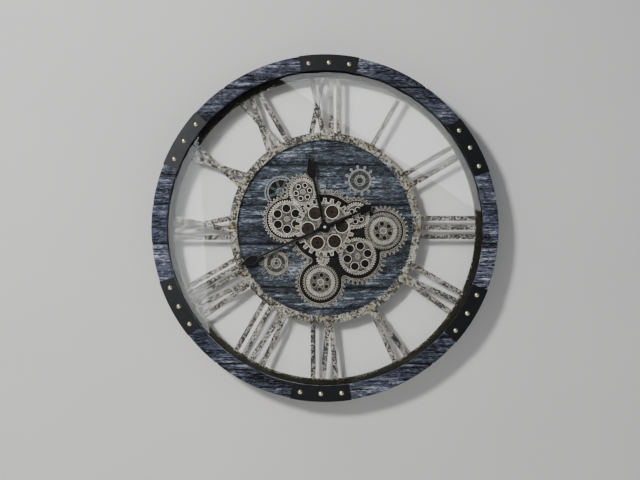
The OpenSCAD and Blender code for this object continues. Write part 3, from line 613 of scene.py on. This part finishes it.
def centre_fans():
    """Ribbed discs that show through the centre gear's holes."""
    bm = bmesh.new()
    top = back_of("centre_gear") - 0.3
    corners = [(r, -w) for r, w in RIB] + [(r, w) for r, w in reversed(RIB)]
    for hole in range(HOLES):
        middle = spot(HOLE_RING, HOLE_TURN + 360 * hole / HOLES, 0)
        for rib in range(RIBS):
            a = math.tau * rib / RIBS
            along = Vector((math.cos(a), 0, math.sin(a))) * MM
            across = Vector((-math.sin(a), 0, math.cos(a))) * MM
            low, high = [[bm.verts.new(middle + along * r + across * w + Vector((0, -h * MM, 0)))
                          for r, w in corners] for h in (top - 1.1, top)]
            bm.faces.new(low)
            bm.faces.new(high[::-1])
            for i in range(4):
                bm.faces.new((low[i], high[i], high[(i + 1) % 4], low[(i + 1) % 4]))
    return finished(bm, "centre_fans")


fans = piece("centre_fans", centre_fans(), "centre_train",
             antique("fan_silver", srgb(70, 62, 50), srgb(3, 2, 2)), smooth=False)

# Dark dish behind the spoked ring's spokes, put there as painted shade between the spokes
SPOKED_AT = (-118 * MM, 0, 95 * MM)
base = back_of("spoked_ring")
profile = [(9, base + 0.1), (12, base + 0.35), (37, base + 0.35), (39.5, base + 0.9), (39.5, base + 0.1)]
shade_dish = piece("spoked_shade_dish", finished(turned(profile, 60, SPOKED_AT), "spoked_shade_dish"), "clock_case",
             FINISH["gear_tray"])

# Winding of the stepping motor's coil: an upright helix round the coil's core
COIL_X = -22
COIL_HEIGHT = 9
COIL_BOTTOM = 6.6
COIL_LENGTH = 10.8
COIL_RADIUS = 3.2
WIRE_RADIUS = 0.22
TURNS = 22
STEPS = 16
points = []
for i in range(TURNS * STEPS + 1):
    a = math.tau * i / STEPS
    points.append(Vector((COIL_X + COIL_RADIUS * math.cos(a), -COIL_HEIGHT - COIL_RADIUS * math.sin(a),
                          COIL_BOTTOM + COIL_LENGTH * i / (TURNS * STEPS))) * MM)
winding = piece("coil_winding", wire("coil_winding", points, WIRE_RADIUS, 4), "clock_case",
                metal("winding_copper", srgb(206, 110, 60), 0.25))


# ---- Stage ----

def plane(name, corners, material):
    mesh = bpy.data.meshes.new(name)
    mesh.from_pydata([Vector(c) for c in corners], [], [tuple(range(len(corners)))])
    mesh.materials.append(material)
    obj = bpy.data.objects.new(name, mesh)
    scene.collection.objects.link(obj)
    return obj


def matt_paint(name, roughness, scale, dark, light):
    """Matt paint that is very slightly uneven."""
    m = Shade(name, Roughness=roughness)
    m.set("Base Color", m.ramp(m.noise(m.place, scale, 2.0, 0.5), (0.3, dark), (0.7, light)))
    return m


def clear_where(m, factor, shader):
    """The material shows a shader where the factor is 0, and is clear where it is 1."""
    clear = m.node("BsdfTransparent")
    mixed = m.node("MixShader", {0: factor, 1: shader, 2: clear.outputs[0]})
    m.tree.links.new(mixed.outputs[0], m.tree.nodes["Material Output"].inputs["Surface"])


WALL_Y = 0.0006
FLOOR_Z = -1.3
# The wall is clear from behind, so that the clock's back can be seen
wall_paint = matt_paint("wall_paint", 0.85, 1.2, srgb(196, 196, 197), srgb(204, 204, 204))
clear_where(wall_paint, wall_paint.node("NewGeometry").outputs["Backfacing"], wall_paint.shader.outputs[0])
wall = plane("wall", [(-6, WALL_Y, FLOOR_Z), (6, WALL_Y, FLOOR_Z), (6, WALL_Y, 5), (-6, WALL_Y, 5)],
             wall_paint.material)
wall.visible_shadow = False
floor_paint = matt_paint("floor_paint", 0.7, 0.8, srgb(214, 213, 210), srgb(222, 221, 218))
plane("floor", [(-6, -8, FLOOR_Z), (6, -8, FLOOR_Z), (6, 8, FLOOR_Z), (-6, 8, FLOOR_Z)],
      floor_paint.material)

world = bpy.data.worlds.new("studio")
scene.world = world
world.use_nodes = True
sky = world.node_tree.nodes["Background"]
sky.inputs["Color"].default_value = (0.86, 0.88, 0.92, 1)
sky.inputs["Strength"].default_value = 0.22


# ---- Lamps and camera ----

def aimed(place, target):
    """The rotation that makes a lamp or camera at a place face a target."""
    return (Vector(target) - Vector(place)).to_track_quat("-Z", "Y").to_euler()


def lamp(name, place, size, power, colour=(1, 1, 1)):
    """A square lamp that faces the clock's middle."""
    data = bpy.data.lights.new(name, "AREA")
    data.size = size
    data.energy = power
    data.color = colour
    obj = bpy.data.objects.new(name, data)
    scene.collection.objects.link(obj)
    obj.location = place
    obj.rotation_euler = aimed(place, (0, 0, 0))
    return obj


lamp("key", (-1.6, -2.7, 1.1), 0.45, 116, (1.0, 0.985, 0.96))
fill = lamp("fill", (2.3, -2.6, 0.2), 1.8, 12, (0.95, 0.97, 1.0))
# Without this the fill lamp would show through the glass from behind
fill.visible_glossy = fill.visible_transmission = False
lamp("back", (0.9, 2.6, 1.6), 1.6, 95)

EYE = Vector((0.0, -2.68, -0.17))
camera_data = bpy.data.cameras.new("camera")
camera_data.sensor_width = 36
camera_data.lens = 55.9
camera = bpy.data.objects.new("camera", camera_data)
scene.collection.objects.link(camera)
camera.location = EYE
camera.rotation_euler = aimed(EYE, (-0.0127, -0.08, -0.0355))
scene.camera = camera


# ---- Bright windows that only the glass reflects ----

CARD_Y = -3.3
GLASS_Y = -front_of("glass_pane") * MM
# Outlines of the two reflections, as (x, z) in millimetres on the glass
SHEENS = {
    "window_right": [(-145, 414), (51, 272), (251, 145), (515, -32), (620, -32), (620, 550), (-225, 550)],
    "window_left": [(-340, 338), (-318, -35), (-300, -310), (-595, -310), (-595, 338)],
}


def reflected(x, z):
    """The point of a card that shows by reflection at the point (x, z) of the glass."""
    reach = (GLASS_Y - CARD_Y) / (GLASS_Y - EYE.y)
    return (x + (x - EYE.x) * reach, CARD_Y, z + (z - EYE.z) * reach)


window = Shade("window_light")
glow = window.node("Emission", {"Color": (0.95, 0.97, 1.0, 1), "Strength": 14.0})
path = window.node("LightPath").outputs
passed = window.plus(path["Transmission Depth"], path["Transparent Depth"])
# The glass reflects the cards, but they don't show through it
clear_where(window, window.math("GREATER_THAN", passed, 0.5), glow.outputs[0])
glass_only = bpy.data.collections.new("glass_only")
glass_only.objects.link(nodes["glass_pane"])
for name, outline in SHEENS.items():
    card = plane(name, [reflected(x * MM, z * MM) for x, z in outline], window.material)
    card.light_linking.receiver_collection = glass_only
    card.visible_camera = card.visible_diffuse = card.visible_shadow = card.visible_transmission = False
nodes["glass_pane"].visible_shadow = False
